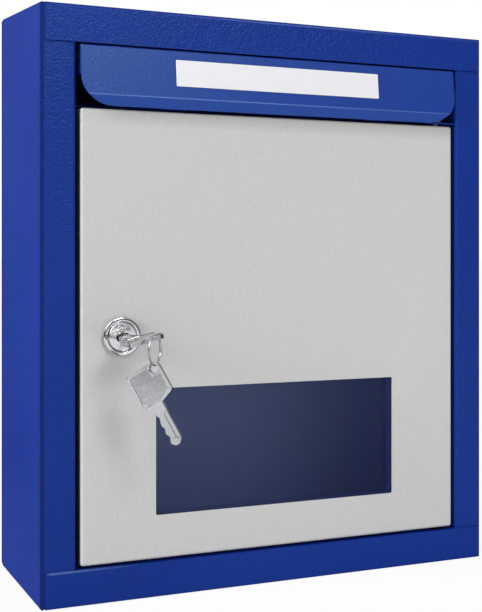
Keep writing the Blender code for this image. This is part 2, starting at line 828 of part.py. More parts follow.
def lock_washer(zinc):
    """Washer between the door and the nut."""
    high = -sheet - seat_gap
    return seat_in_door(washer("lock_washer", barrel_radius + rivet_clearance, lock_washer_radius,
                               high - lock_washer_thickness, high, lock_steps, zinc))


def lock_cam(zinc):
    """Flat cam on the plug's square tail, standing upright when unlocked."""
    half = cam_width / 2.0
    tip = cam_length - half / 2.0
    outline = rounded_corners([(-half, -half), (half, -half), (half, tip), (-half, tip)],
                              [half * cam_round_share, half * cam_round_share, half / 2.0, half / 2.0])
    bm = bmesh.new()
    add_prism(bm, outline, lambda x, y, z: (x, y, z), cam_back, cam_front)
    obj = make_object("lock_cam", bm, zinc)
    cutter = bmesh.new()
    hole = tail_side / 2.0 + rivet_clearance
    add_box(cutter, (-hole, -hole, cam_back - overrun), (hole, hole, cam_front + overrun))
    use_tool(obj, seat_in_door(make_tool("cam_hole", cutter, zinc)), "DIFFERENCE")
    return seat_in_door(obj)


def cam_screw(zinc):
    """Screw and its head behind the cam."""
    tail_end = cam_back + seat_gap
    head_top = cam_back - 2.0 * seat_gap - cam_washer_thickness
    head_low = head_top - cam_screw_head_height
    shank_top = tail_end + cam_screw_length - seat_gap
    profile = [(0.0, head_low), (cam_screw_head_radius - plug_chamfer, head_low),
               (cam_screw_head_radius, head_low + plug_chamfer), (cam_screw_head_radius, head_top),
               (cam_screw_radius, head_top), (cam_screw_radius, shank_top), (0.0, shank_top)]
    return seat_in_door(make_object("cam_screw", turned(profile, pin_steps, False), zinc, smooth_turn))


def cam_washer(zinc):
    """Washer under the cam screw's head."""
    high = cam_back - seat_gap
    return seat_in_door(washer("cam_washer", cam_screw_radius + rivet_clearance, cam_washer_radius,
                               high - cam_washer_thickness, high, pin_steps, zinc))


# Keys, drawn in local X and Y with the tip at the origin and the bow at +Y

def blade_outline(root):
    """Blade with a straight edge at +X and cuts along the other."""
    half = blade_width / 2.0
    outline = [(half, root), (half, blade_tip), (half - blade_tip, 0.0), (-half + blade_tip, 0.0),
               (-half, blade_tip)]
    for place, depth in zip(bitting_shares, bitting_depth_shares):
        y = blade_length * place
        x = -half + blade_width * depth
        reach = bitting_run / 2.0 + blade_width * depth * bitting_slope_share
        outline += [(-half, y - reach), (x, y - bitting_run / 2.0),
                    (x, y + bitting_run / 2.0), (-half, y + reach)]
    outline.append((-half, root))
    return outline


def bow_outline():
    """Lopsided bow on a neck, with one corner rounded about the key's eye."""
    neck_top = blade_length + neck_rise
    shoulder = neck_top + shoulder_rise
    long_shoulder = blade_length + long_shoulder_rise
    corners = [(neck_half, blade_length), (neck_half, neck_top), (bow_right, shoulder),
               (bow_right, key_length), (bow_left, key_length), (bow_left, long_shoulder + shoulder_ease),
               (bow_left + long_shoulder_inset, long_shoulder), (-neck_half, blade_length)]
    return rounded_corners(corners, [0.0, 0.0, bow_corner, eye_radius + eye_rim, bow_corner, bow_corner,
                                     bow_corner, 0.0])


def panel_outline():
    """Sunk panel of the bow, which keeps a rim and leaves the eye's corner whole."""
    high = key_length - bow_rim
    low = blade_length + neck_rise + shoulder_rise
    left = bow_left + bow_rim
    right = bow_right - bow_rim
    eye_edge = eye_x - eye_radius - eye_rim
    eye_foot = eye_y - eye_radius - eye_rim
    neck = blade_width / 2.0
    corners = [(neck, low - bow_rim), (right, low + bow_rim), (right, eye_foot), (eye_edge, eye_foot),
               (eye_edge, high), (left, high), (left, low + bow_rim), (-neck, low - bow_rim)]
    soft = bow_corner / 2.0
    return rounded_corners(corners, [soft] * len(corners))


def key_flat(x, y, z):
    """Key outlines lie flat in local X and Y."""
    return (x, y, z)


def key_piece(name, chrome, frame):
    """A whole key placed by its frame."""
    bm = bmesh.new()
    add_prism(bm, bow_outline(), key_flat, -bow_thickness / 2.0, bow_thickness / 2.0)
    obj = make_object(name, bm, chrome)
    blade = bmesh.new()
    rooted = blade_outline(blade_length + blade_root)
    add_prism(blade, rooted, key_flat, -blade_thickness / 2.0, blade_thickness / 2.0)
    cutter = bmesh.new()
    groove_middle = blade_width / 2.0 - blade_groove_offset - blade_groove_width / 2.0
    groove_length = blade_length - blade_tip - 2.0 * blade_groove_width
    groove = rectangle(blade_groove_width, groove_length, blade_groove_width * groove_round_share,
                       (groove_middle, (blade_length + blade_tip) / 2.0))
    for direction in (-1.0, 1.0):
        floor = direction * (bow_thickness / 2.0 - bow_panel_depth)
        add_prism(cutter, panel_outline(), key_flat, floor, direction * (bow_thickness / 2.0 + overrun))
        groove_floor = direction * (blade_thickness / 2.0 - blade_groove_depth)
        add_prism(cutter, groove, key_flat, groove_floor, direction * (blade_thickness / 2.0 + overrun))
    add_rod(cutter, (eye_x, eye_y, -bow_thickness), (eye_x, eye_y, bow_thickness), eye_radius, pin_steps)
    obj.matrix_world = frame
    blade_tool = make_tool(name + "_blade", blade, chrome)
    blade_tool.matrix_world = frame
    use_tool(obj, blade_tool, "UNION")
    cut_tool = make_tool(name + "_cuts", cutter, chrome)
    cut_tool.matrix_world = frame
    use_tool(obj, cut_tool, "DIFFERENCE")
    return obj


def frame_of(x_axis, y_axis, origin):
    """Matrix with the given local X and Y axes and origin."""
    x = Vector(x_axis).normalized()
    y = Vector(y_axis).normalized()
    z = x.cross(y)
    turn = Matrix((x, y, z)).transposed().to_4x4()
    return Matrix.Translation(origin) @ turn


def door_key_frame():
    """The key in the lock: flat side up, tip just inside the keyway."""
    tip_y = door_y - bezel_top + key_inserted
    across = (math.cos(keyway_tilt), 0.0, math.sin(keyway_tilt))
    return frame_of(across, (0.0, -1.0, 0.0), (lock_x, tip_y, lock_z))


def ring_pivot():
    """The place on the bridge beside the key's eye where the ring hangs."""
    line = Vector((math.sin(ring_turn), math.cos(ring_turn), 0.0))
    eye = door_key_frame() @ Vector((eye_x, eye_y, 0.0))
    point = eye - line * ring_seat
    point.z = eye.z - ring_seat * line.x * math.tan(keyway_tilt)
    return point


def ring_middle():
    """Centre of the key ring, which hangs from the bridge."""
    top_of_bridge = bow_thickness / 2.0 / math.cos(keyway_tilt)
    drop = ring_radius - ring_wire_radius - ring_gap - top_of_bridge
    return ring_pivot() - Vector((0.0, 0.0, drop))


def key_ring(chrome):
    """Closed wire ring through both keys."""
    profile = [(ring_radius + ring_wire_radius * math.cos(full_turn * step / wire_steps),
                ring_wire_radius * math.sin(full_turn * step / wire_steps)) for step in range(wire_steps)]
    obj = make_object("key_ring", turned(profile, ring_steps, True), chrome, wire_smooth_turn)
    line = Vector((math.sin(ring_turn), math.cos(ring_turn), 0.0))
    obj.matrix_world = frame_of(line, (0.0, 0.0, 1.0), ring_middle())
    return obj


def spare_key_frame():
    """The spare key hangs from the ring's foot with its weight below the wire."""
    bow_area, bow_middle = centroid(bow_outline())
    panel_area, panel_middle = centroid(panel_outline())
    blade_area, blade_middle = centroid(blade_outline(blade_length))
    eye_area = math.pi * eye_radius ** 2
    weights = [(bow_area * bow_thickness, bow_middle),
               (-panel_area * 2.0 * bow_panel_depth, panel_middle),
               (blade_area * blade_thickness, blade_middle),
               (-eye_area * bow_thickness, Vector((eye_x, eye_y)))]
    total = sum(weight for weight, middle in weights)
    balance = sum((middle * weight for weight, middle in weights), Vector((0.0, 0.0))) / total
    seat_offset = eye_radius - ring_wire_radius - spare_gap
    eye = Vector((eye_x, eye_y))
    hang = (eye - balance).normalized()
    hook = eye + hang * seat_offset
    line = Vector((math.sin(ring_turn), math.cos(ring_turn), 0.0))
    up = Vector((0.0, 0.0, 1.0))
    side = line.cross(up)
    foot = ring_middle() - up * ring_radius
    x_axis = side * hang.y + up * hang.x
    y_axis = up * hang.y - side * hang.x
    origin = foot - x_axis * hook.x - y_axis * hook.y
    return frame_of(x_axis, y_axis, origin)


def build():
    """Empty the scene and make every piece."""
    for obj in list(bpy.data.objects):
        bpy.data.objects.remove(obj, do_unlink=True)
    looks = make_finishes()
    blue = looks["blue_paint"]
    zinc = looks["zinc"]
    chrome = looks["chrome"]
    side_panel("left_side", -1.0, blue)
    side_panel("right_side", 1.0, blue)
    roof_panel(blue)
    floor_panel(blue)
    back_panel(blue)
    sill_rail(blue)
    door_stop("door_stop_low", stop_low_z, blue)
    door_stop("door_stop_high", stop_high_z, blue)
    door_panel(looks["grey_paint"])
    window_pane(looks["acrylic"])
    window_clip("window_clip_low_left", -1.0, -1.0, zinc)
    window_clip("window_clip_low_right", 1.0, -1.0, zinc)
    window_clip("window_clip_high_left", -1.0, 1.0, zinc)
    window_clip("window_clip_high_right", 1.0, 1.0, zinc)
    door_pin("door_pin_low", True, bottom_band, zinc)
    door_pin("door_pin_high", False, rail_low, zinc)
    pivot_washer(looks["nylon"])
    flap(blue)
    flap_pin("flap_pin_left", -1.0, zinc)
    flap_pin("flap_pin_right", 1.0, zinc)
    flap_spacer("flap_spacer_left", -1.0, looks["nylon"])
    flap_spacer("flap_spacer_right", 1.0, looks["nylon"])
    title_label(looks["paper"])
    lock_barrel(chrome)
    lock_plug(chrome)
    lock_nut(zinc)
    lock_washer(zinc)
    lock_cam(zinc)
    cam_washer(zinc)
    cam_screw(zinc)
    key_piece("door_key", chrome, door_key_frame())
    key_ring(chrome)
    key_piece("spare_key", chrome, spare_key_frame())


build()
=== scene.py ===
import math

import bmesh
import bpy
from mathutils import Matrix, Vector


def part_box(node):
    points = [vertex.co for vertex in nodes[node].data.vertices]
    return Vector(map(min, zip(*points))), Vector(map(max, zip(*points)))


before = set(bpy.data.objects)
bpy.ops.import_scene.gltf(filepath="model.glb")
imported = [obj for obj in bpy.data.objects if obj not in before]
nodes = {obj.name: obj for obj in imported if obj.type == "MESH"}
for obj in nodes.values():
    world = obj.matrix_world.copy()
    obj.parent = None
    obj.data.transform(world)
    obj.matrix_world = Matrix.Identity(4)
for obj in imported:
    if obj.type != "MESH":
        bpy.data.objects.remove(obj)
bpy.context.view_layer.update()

fullTurn = 2.0 * math.pi
print("frame loaded:", len(nodes), "nodes")


# ---- shader helpers

class Wire:
    # a socket in a node tree; + - * / on it add Math nodes
    def __init__(self, tree, socket=None):
        self.tree = tree
        self.socket = socket

    def node(self, kind, settings=None, inputs=None, output=0):
        # settings first, then the sockets' values or links
        made = self.tree.nodes.new(kind)
        for name, value in (settings or {}).items():
            if name == "stops":
                self.fillRamp(made.color_ramp, value)
            else:
                setattr(made, name, value)
        for name, value in (inputs or {}).items():
            self.feed(made.inputs[name], value)
        return Wire(self.tree, made.outputs[output])

    def fillRamp(self, ramp, stops):
        while len(ramp.elements) < len(stops):
            ramp.elements.new(1.0)
        for element, (place, grey) in zip(ramp.elements, stops):
            element.position = place
            element.color = (grey, grey, grey, 1.0)

    def feed(self, target, value):
        if isinstance(value, Wire):
            self.tree.links.new(value.socket, target)
        else:
            target.default_value = value

    def maths(self, operation, first, second):
        return self.node("ShaderNodeMath", {"operation": operation}, {0: first, 1: second})

    def __add__(self, other):
        return self.maths("ADD", self, other)

    def __radd__(self, other):
        return self.maths("ADD", other, self)

    def __sub__(self, other):
        return self.maths("SUBTRACT", self, other)

    def __rsub__(self, other):
        return self.maths("SUBTRACT", other, self)

    def __mul__(self, other):
        return self.maths("MULTIPLY", self, other)

    def __rmul__(self, other):
        return self.maths("MULTIPLY", other, self)

    def __truediv__(self, other):
        return self.maths("DIVIDE", self, other)


def linear(code):
    # an sRGB hex code as a linear colour
    parts = [int(code[at:at + 2], 16) / 255.0 for at in (0, 2, 4)]
    parts = [part / 12.92 if part <= 0.04045 else ((part + 0.055) / 1.055) ** 2.4 for part in parts]
    return (*parts, 1.0)


def startFinish(name):
    # an empty material with its output; returns the material and a wire to build from
    made = bpy.data.materials.new(name)
    made.use_nodes = True
    tree = made.node_tree
    tree.nodes.clear()
    tree.nodes.new("ShaderNodeOutputMaterial")
    return made, Wire(tree)


def closeFinish(made, shader):
    output = made.node_tree.nodes["Material Output"]
    made.node_tree.links.new(shader.socket, output.inputs["Surface"])
    return made


def mixColours(wire, share, first, second):
    # 6, 7 and 2 are the Mix node's two colours and its colour result
    return wire.node("ShaderNodeMix", {"data_type": "RGBA"}, {"Factor": share, 6: first, 7: second}, 2)


def objectPlace(wire):
    return wire.node("ShaderNodeTexCoord", output="Object")


def noise(wire, place, scale, detail, rough=0.5):
    inputs = {"Vector": place, "Scale": scale, "Detail": detail, "Roughness": rough}
    return wire.node("ShaderNodeTexNoise", {}, inputs)


def mapRange(wire, value, low, high, newLow, newHigh):
    inputs = {"Value": value, "From Min": low, "From Max": high, "To Min": newLow, "To Max": newHigh}
    return wire.node("ShaderNodeMapRange", {}, inputs)


def axis(wire, place, name):
    # one coordinate of a place: X across, Y backward, Z up
    return wire.node("ShaderNodeSeparateXYZ", {}, {0: place}, name)


def apart(wire, value, level):
    # how far a value is from a level, either way
    return wire.node("ShaderNodeMath", {"operation": "ABSOLUTE"}, {0: value - level})


def dot(wire, first, second):
    return wire.node("ShaderNodeVectorMath", {"operation": "DOT_PRODUCT"}, {0: first, 1: second}, "Value")


def bump(wire, height, strength, distance):
    inputs = {"Height": height, "Strength": strength, "Distance": distance}
    return wire.node("ShaderNodeBump", {}, inputs)


# ---- finishes

# the parts of a noise's values that are spread over a full range
tightSpan = (0.35, 0.65)
middleSpan = (0.3, 0.7)
hazeSpan = (0.3, 0.75)
dustSpan = (0.3, 0.8)

bluePaint = {
    "colour": linear("0b2d87"), "pale": linear("103491"), "deep": linear("08277c"),
    "foldShade": linear("050f48"), "lip": linear("23459b"), "paintedLight": linear("7088cc"),
    "warpScale": 500.0, "warpReach": 0.0012, "driftScale": 9.0,
    "peelScale": 1300.0, "peelDepth": 0.0003, "peelSmooth": 0.6, "peelShare": 0.6,
    "rollScale": 0.55, "rollShare": 0.9, "rollTones": (0.15, 0.5), "grainScale": 2300.0, "grainDepth": 0.00005,
    "roughLow": 0.30, "roughHigh": 0.42, "sheen": 0.29, "sheenTint": (0.62, 0.92, 1.0, 1.0), "strength": 0.74,
    "flapStrength": 0.28, "flapSheen": 0.38, "flapPale": 0.4, "lipShare": 0.8, "lipFade": 0.0006,
    "creaseHeight": 0.2530, "creaseHalf": 0.00022, "creaseFade": 0.00025, "creaseShare": 0.55,
    "creaseRagged": 0.0003, "creaseSmooth": 0.12, "creaseEnds": (-0.03, 0.10), "creaseLeft": 0.5,
    "foldShare": 0.8, "foldRough": 0.2, "foldFront": (0.0010, 0.0016), "foldSide": (0.0022, 0.0045),
    "foldSkin": (0.0005, 0.0009),
    "seamHeight": 0.01755, "seamHalf": 0.0003, "seamShare": 0.5, "seamEnds": (0.012, 0.050),
    "browHeight": 0.2957, "browHalf": 0.00022, "browShare": 0.32, "browStart": (-0.07, -0.02),
    "browEnd": (0.02, 0.10), "browLeft": 0.35, "highlightSkin": (0.0004, 0.0008), "highlightInset": (0.002, 0.004),
}


def makeBluePaint(creased=False):
    # leathery powder coat: soft pebbles with a finer grain on them; the flap's creased copy has painted light, the
    # plain copy painted shade along the outer folds and painted highlights on two band edges
    made, wire = startFinish("bluePowderCoatCreased" if creased else "bluePowderCoat")
    place = objectPlace(wire)
    warped = wire.node("ShaderNodeVectorMath", {"operation": "ADD"}, {
        0: place,
        1: wire.node("ShaderNodeVectorMath", {"operation": "SCALE"}, {
            0: wire.node("ShaderNodeTexNoise", {},
                         {"Vector": place, "Scale": bluePaint["warpScale"], "Detail": 1.0}, "Color"),
            "Scale": bluePaint["warpReach"]})})
    pebbles = wire.node("ShaderNodeTexVoronoi", {"feature": "SMOOTH_F1"}, {
        "Vector": warped, "Scale": bluePaint["peelScale"], "Smoothness": bluePaint["peelSmooth"]})
    rolls = noise(wire, place, bluePaint["peelScale"] * bluePaint["rollScale"], detail=1.0)
    grain = noise(wire, place, bluePaint["grainScale"], detail=2.0)
    peel = (1.0 - pebbles) * bluePaint["peelShare"] + rolls * bluePaint["rollShare"]
    peel = peel + grain * (bluePaint["grainDepth"] / bluePaint["peelDepth"])
    drift = noise(wire, place, bluePaint["driftScale"], detail=2.0)
    tone = mapRange(wire, drift, *tightSpan, 0.0, 1.0)
    colour = mixColours(wire, tone, bluePaint["deep"], bluePaint["pale"])
    tone = mapRange(wire, rolls, *middleSpan, *bluePaint["rollTones"])
    colour = mixColours(wire, tone, bluePaint["colour"], colour)
    rough = mapRange(wire, grain, *middleSpan, bluePaint["roughLow"], bluePaint["roughHigh"])
    if creased:
        # painted light: the whole flap made paler, a paler lip below the crease, and a painted highlight along the
        # crease, which is also made smoother
        crease = bluePaint["creaseHeight"]
        ragged = apart(wire, axis(wire, place, "Z"), crease) + (rolls - 0.5) * bluePaint["creaseRagged"]
        paintedLight = mapRange(wire, ragged, bluePaint["creaseHalf"], bluePaint["creaseHalf"] + bluePaint["creaseFade"],
                        bluePaint["creaseShare"], 0.0)
        lip = mapRange(wire, axis(wire, place, "Z"), crease - bluePaint["lipFade"], crease,
                       bluePaint["lipShare"], 0.0)
        colour = mixColours(wire, bluePaint["flapPale"], colour, bluePaint["lip"])
        colour = mixColours(wire, lip, colour, bluePaint["lip"])
        ends = mapRange(wire, axis(wire, place, "X"), *bluePaint["creaseEnds"], 1.0, bluePaint["creaseLeft"])
        colour = mixColours(wire, paintedLight * ends, colour, bluePaint["paintedLight"])
        rough = rough - paintedLight * bluePaint["creaseSmooth"]
    else:
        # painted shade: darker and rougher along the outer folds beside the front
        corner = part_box("left_side")[0]
        behind = axis(wire, place, "Y") - corner[1]
        inward = -corner[0] - apart(wire, axis(wire, place, "X"), 0.0)
        onFront = mapRange(wire, inward, *bluePaint["foldFront"], 1.0, 0.0)
        onFront = onFront * mapRange(wire, behind, *bluePaint["foldSkin"], 1.0, 0.0)
        onSide = mapRange(wire, behind, *bluePaint["foldSide"], 1.0, 0.0)
        onSide = onSide * mapRange(wire, inward, *bluePaint["foldSkin"], 1.0, 0.0)
        fold = wire.maths("MAXIMUM", onFront, onSide)
        colour = mixColours(wire, fold * bluePaint["foldShare"], colour, bluePaint["foldShade"])
        rough = rough + fold * bluePaint["foldRough"]
        # and painted highlights: pale lines on the bottom band's upper edge at the left, and on the top band's
        # upper edge
        along = axis(wire, place, "X")
        seam = mapRange(wire, apart(wire, axis(wire, place, "Z"), bluePaint["seamHeight"]),
                        bluePaint["seamHalf"], 2.0 * bluePaint["seamHalf"], bluePaint["seamShare"], 0.0)
        seamStart, seamStop = bluePaint["seamEnds"]
        seam = seam * mapRange(wire, along, corner[0] + seamStart, corner[0] + seamStop, 1.0, 0.0)
        brow = mapRange(wire, apart(wire, axis(wire, place, "Z"), bluePaint["browHeight"]),
                        bluePaint["browHalf"], 2.0 * bluePaint["browHalf"], bluePaint["browShare"], 0.0)
        brow = brow * mapRange(wire, along, *bluePaint["browStart"], 0.0, 1.0)
        brow = brow * mapRange(wire, along, *bluePaint["browEnd"], 1.0, bluePaint["browLeft"])
        paintedLight = (seam + brow) * mapRange(wire, behind, *bluePaint["highlightSkin"], 1.0, 0.0)
        paintedLight = paintedLight * mapRange(wire, inward, *bluePaint["highlightInset"], 0.0, 1.0)
        colour = mixColours(wire, paintedLight, colour, bluePaint["paintedLight"])
    shader = wire.node("ShaderNodeBsdfPrincipled", {}, {
        "Base Color": colour, "Roughness": rough, "IOR": 1.5,
        "Specular IOR Level": bluePaint["flapSheen" if creased else "sheen"],
        "Specular Tint": bluePaint["sheenTint"],
        "Normal": bump(wire, peel, bluePaint["flapStrength" if creased else "strength"], bluePaint["peelDepth"])})
    return closeFinish(made, shader)


greyPaint = {
    "colour": linear("cacac9"), "deep": linear("bcbcbd"), "speckle": 0.55,
    "grainScale": 1300.0, "grainDepth": 0.00014, "grainShare": 0.5, "rollScale": 0.35, "strength": 0.8,
    "roughLow": 0.40, "roughHigh": 0.54, "sheen": 0.3,
    "wall": linear("20242c"), "wallShare": 0.75, "wallStart": (0.0008, 0.0016),
    "wallSkin": (0.0002, 0.0004),
    "lipShadow": linear("6c6c6a"), "lipShadowShare": 0.42, "lipShadowReach": 0.0085, "lipShadowEnd": (0.004, 0.022),
    "lipShadowLeft": 0.15,
}


def makeGreyPaint():
    # fine-grained light grey powder coat
    made, wire = startFinish("greyPowderCoat")
    place = objectPlace(wire)
    grain = noise(wire, place, greyPaint["grainScale"], detail=3.0)
    rolls = noise(wire, place, greyPaint["grainScale"] * greyPaint["rollScale"], detail=1.0)
    speckle = mapRange(wire, grain, *tightSpan, 0.0, greyPaint["speckle"])
    colour = mixColours(wire, speckle, greyPaint["colour"], greyPaint["deep"])
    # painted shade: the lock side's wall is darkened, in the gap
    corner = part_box("door_panel")[0]
    behind = axis(wire, place, "Y") - corner[1]
    inward = axis(wire, place, "X") - corner[0]
    wall = mapRange(wire, behind, *greyPaint["wallStart"], 0.0, greyPaint["wallShare"])
    wall = wall * mapRange(wire, inward, *greyPaint["wallSkin"], 1.0, 0.0)
    colour = mixColours(wire, wall, colour, greyPaint["wall"])
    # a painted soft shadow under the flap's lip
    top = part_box("door_panel")[1][2]
    below = top - axis(wire, place, "Z")
    lipShadow = mapRange(wire, below, 0.0, greyPaint["lipShadowReach"], greyPaint["lipShadowShare"], 0.0)
    lipShadow = lipShadow * mapRange(wire, inward, *greyPaint["lipShadowEnd"], greyPaint["lipShadowLeft"], 1.0)
    colour = mixColours(wire, lipShadow, colour, greyPaint["lipShadow"])
    rough = mapRange(wire, rolls, *middleSpan, greyPaint["roughLow"], greyPaint["roughHigh"])
    relief = grain * greyPaint["grainShare"] + rolls
    shader = wire.node("ShaderNodeBsdfPrincipled", {}, {
        "Base Color": colour, "Roughness": rough, "IOR": 1.5, "Specular IOR Level": greyPaint["sheen"],
        "Normal": bump(wire, relief, greyPaint["strength"], greyPaint["grainDepth"])})
    return closeFinish(made, shader)


chromePlate = {
    "colour": (0.83, 0.83, 0.84, 1.0), "roughLow": 0.05, "roughHigh": 0.16, "scratchScale": 900.0,
    "waveScale": 150.0, "waveDepth": 0.00025, "cloudScale": 110.0, "cloudLow": 0.6,
    "panelColour": (0.58, 0.58, 0.59, 1.0), "panelRough": 0.05, "panelLevel": (-0.00022, -0.00010),
    "panelFade": (-0.017, -0.004), "panelLow": 0.25,
    "edgeColour": (0.16, 0.16, 0.17, 1.0), "edgeFacing": (0.80, 0.97),
    "seenFacing": 0.5, "flatFacing": 0.999,
}


def flatLevels(name):
    # the direction of a key's broad side, seen from above or from the front, and the level of its rim
    faces = nodes[name].data.polygons
    if name == "door_key":
        seen = [face for face in faces if face.normal.z > chromePlate["seenFacing"]]
    else:
        seen = [face for face in faces if face.normal.y < -chromePlate["seenFacing"]]
    broad = max(seen, key=lambda face: face.area).normal.copy()
    level = max(face.center.dot(broad) for face in faces if face.normal.dot(broad) > chromePlate["flatFacing"])
    return broad, level


def makeChrome(name, key=None, unevenness=0.06, dulling=0.0, edgeShade=0.0):
    # bright plating over slightly uneven castings; a key's sunk panel is duller than its rim
    made, wire = startFinish(name)
    place = objectPlace(wire)
    waves = noise(wire, place, chromePlate["waveScale"], detail=1.0)
    haze = noise(wire, place, chromePlate["scratchScale"], detail=3.0, rough=0.6)
    rough = mapRange(wire, haze, *hazeSpan, chromePlate["roughLow"] + dulling, chromePlate["roughHigh"] + dulling)
    colour = chromePlate["colour"]
    if key:
        broad, top = flatLevels(key)
        panelFloor, panelRim = chromePlate["panelLevel"]
        sunk = mapRange(wire, dot(wire, place, broad[:]), top + panelFloor, top + panelRim, 1.0, 0.0)
        cloud = noise(wire, place, chromePlate["cloudScale"], detail=2.0)
        cloud = mapRange(wire, cloud, *tightSpan, chromePlate["cloudLow"], 1.0)
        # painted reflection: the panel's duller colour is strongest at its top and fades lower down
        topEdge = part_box(key)[1][2]
        fadeLow, fadeHigh = chromePlate["panelFade"]
        paintedLight = mapRange(wire, axis(wire, place, "Z"), topEdge + fadeLow, topEdge + fadeHigh,
                        chromePlate["panelLow"], 1.0)
        colour = mixColours(wire, sunk * cloud * paintedLight, colour, chromePlate["panelColour"])
        # painted dark reflection: the narrow edges are darkened
        facing = dot(wire, wire.node("ShaderNodeTexCoord", output="Normal"), broad[:])
        edge = mapRange(wire, facing, *chromePlate["edgeFacing"], edgeShade, 0.0)
        colour = mixColours(wire, edge, colour, chromePlate["edgeColour"])
        rough = rough + sunk * chromePlate["panelRough"]
    shader = wire.node("ShaderNodeBsdfPrincipled", {}, {
        "Base Color": colour, "Metallic": 1.0, "Roughness": rough,
        "Normal": bump(wire, waves, unevenness, chromePlate["waveDepth"])})
    return closeFinish(made, shader)


turnedFace = {
    "ringPitch": 0.0009, "ringDepth": 0.000003, "strength": 0.07, "arcShare": 0.5, "arcRough": 0.08,
    "hazeSpan": (0.25, 0.8), "roughLow": 0.08, "roughHigh": 0.17,
    "colour": (0.93, 0.93, 0.93, 1.0), "arcColour": (0.70, 0.70, 0.71, 1.0),
    "deep": (0.02, 0.02, 0.022, 1.0), "shadeReach": (0.0002, 0.0008),
}


def makeTurnedChrome():
    # the lock's face, with the fine arcs that a lathe leaves
    made, wire = startFinish("turnedChrome")
    lockLow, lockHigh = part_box("lock_barrel")
    middle = [(low + high) / 2.0 for low, high in zip(lockLow, lockHigh)]
    place = objectPlace(wire)
    fromAxis = wire.node("ShaderNodeVectorMath", {"operation": "SUBTRACT"},
                         {0: place, 1: (middle[0], 0.0, middle[2])})
    flat = wire.node("ShaderNodeVectorMath", {"operation": "MULTIPLY"}, {0: fromAxis, 1: (1.0, 0.0, 1.0)})
    radius = wire.node("ShaderNodeVectorMath", {"operation": "LENGTH"}, {0: flat}, "Value")
    arcs = wire.node("ShaderNodeMath", {"operation": "SINE"}, {0: radius * (fullTurn / turnedFace["ringPitch"])})
    haze = noise(wire, place, chromePlate["scratchScale"], detail=3.0, rough=0.6)
    rough = mapRange(wire, haze + arcs * turnedFace["arcRough"], *turnedFace["hazeSpan"],
                     turnedFace["roughLow"], turnedFace["roughHigh"])
    colour = mixColours(wire, mapRange(wire, arcs, -1.0, 1.0, 0.0, turnedFace["arcShare"]),
                        turnedFace["colour"], turnedFace["arcColour"])
    # painted shade: the keyway and the groove round the plug are darkened inside
    depth = axis(wire, place, "Y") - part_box("lock_plug")[0][1]
    colour = mixColours(wire, mapRange(wire, depth, *turnedFace["shadeReach"], 0.0, 1.0), colour, turnedFace["deep"])
    shader = wire.node("ShaderNodeBsdfPrincipled", {}, {
        "Base Color": colour, "Metallic": 1.0, "Roughness": rough,
        "Normal": bump(wire, arcs, turnedFace["strength"], turnedFace["ringDepth"])})
    return closeFinish(made, shader)


zincPlate = {
    "colour": (0.58, 0.59, 0.60, 1.0), "deep": (0.44, 0.45, 0.46, 1.0), "cloudScale": 320.0,
    "brushScale": 2400.0, "brushStretch": (1.0, 1.0, 0.12), "brushDepth": 0.00004, "strength": 0.2,
    "roughLow": 0.28, "roughHigh": 0.46,
}


def makeZinc():
    # cloudy dull plating, brushed upwards
    made, wire = startFinish("zincPlate")
    place = objectPlace(wire)
    cloud = noise(wire, place, zincPlate["cloudScale"], detail=3.0)
    streak = wire.node("ShaderNodeVectorMath", {"operation": "MULTIPLY"}, {0: place, 1: zincPlate["brushStretch"]})
    brushed = noise(wire, streak, zincPlate["brushScale"], detail=2.0)
    colour = mixColours(wire, mapRange(wire, cloud, *tightSpan, 0.0, 1.0), zincPlate["colour"], zincPlate["deep"])
    rough = mapRange(wire, brushed, *middleSpan, zincPlate["roughLow"], zincPlate["roughHigh"])
    shader = wire.node("ShaderNodeBsdfPrincipled", {}, {
        "Base Color": colour, "Metallic": 1.0, "Roughness": rough,
        "Normal": bump(wire, brushed, zincPlate["strength"], zincPlate["brushDepth"])})
    return closeFinish(made, shader)


pane = {
    "colour": (0.010, 0.018, 0.098, 1.0), "haze": (0.018, 0.027, 0.105, 1.0), "hazeShare": 0.6, "cover": 0.28,
    "dustScale": 60.0, "roughLow": 0.05, "roughHigh": 0.16,
    "shine": 0.056, "shineColour": (0.46, 0.60, 1.0, 1.0), "shineRough": 0.22, "rimDark": 0.6,
    "rimRight": 0.0022, "rimRightSpread": 1.6, "rimLow": 0.0009, "rimLowSpread": 1.8,
}


def windowEdges():
    # the right and lower edges of the door's window, from the door's own vertices
    low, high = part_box("window_pane")
    spots = [vertex.co for vertex in nodes["door_panel"].data.vertices]
    inside = [spot for spot in spots if low[0] < spot.x < high[0] and low[2] < spot.z < high[2]]
    return max(spot.x for spot in inside), min(spot.z for spot in inside)


